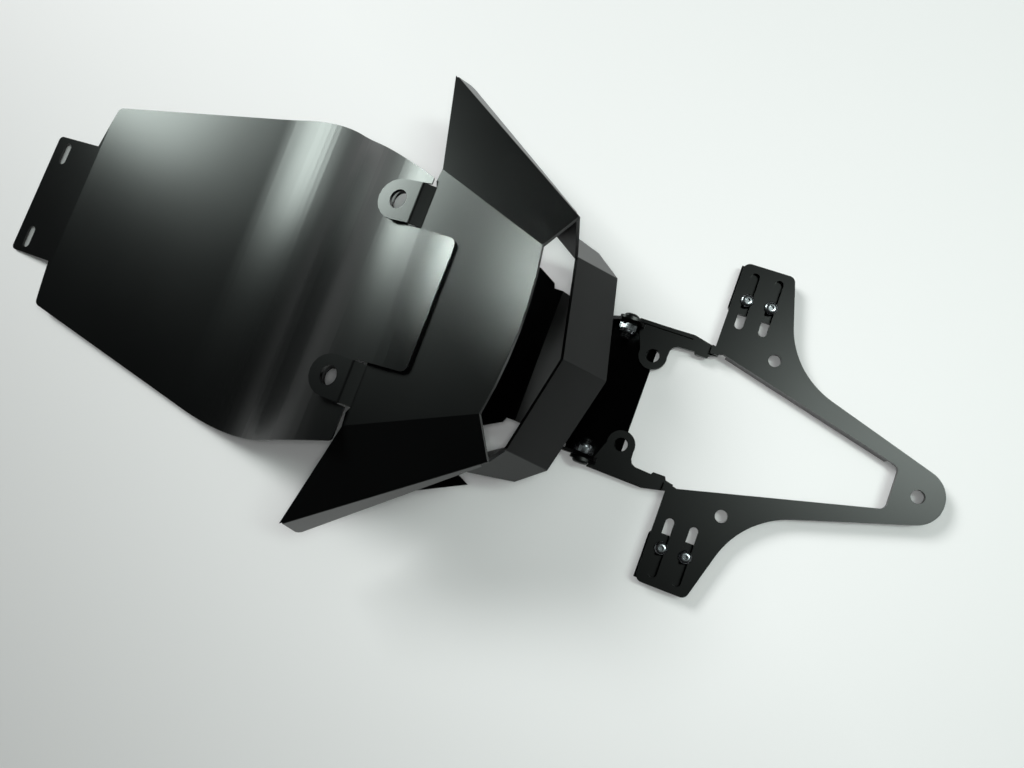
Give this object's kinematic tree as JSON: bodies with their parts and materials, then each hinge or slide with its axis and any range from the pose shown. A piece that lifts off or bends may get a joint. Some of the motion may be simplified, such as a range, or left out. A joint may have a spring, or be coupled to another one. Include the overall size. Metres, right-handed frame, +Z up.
{
  "type": "tail tidy",
  "caption": "Folded sheet tail bracket: broad front panel, winged deck with rear hood, and a V-shaped plate frame with slotted wings.",
  "frame": {"origin": "middle of the length and width, on the table it rests on", "axes": "+X runs along the length from the slotted flange to the nose of the plate frame, +Y across to the left wing, +Z up from the table"},
  "size_m": [0.598, 0.271, 0.1053],
  "materials": {
    "black_coat": "satin black powder coat",
    "zinc": "bright zinc plating",
    "black_bolt": "black oxide"
  },
  "bodies": {
    "root": {"front_panel": "black_coat", "rear_cowl": "black_coat", "base_bracket": "black_coat", "plate_frame": "black_coat", "indicator_plate_left": "black_coat", "indicator_plate_right": "black_coat", "indicator_screws": "zinc", "indicator_nuts": "zinc", "pivot_bolts": "black_bolt", "pivot_nuts": "zinc"}
  },
  "joints": []
}
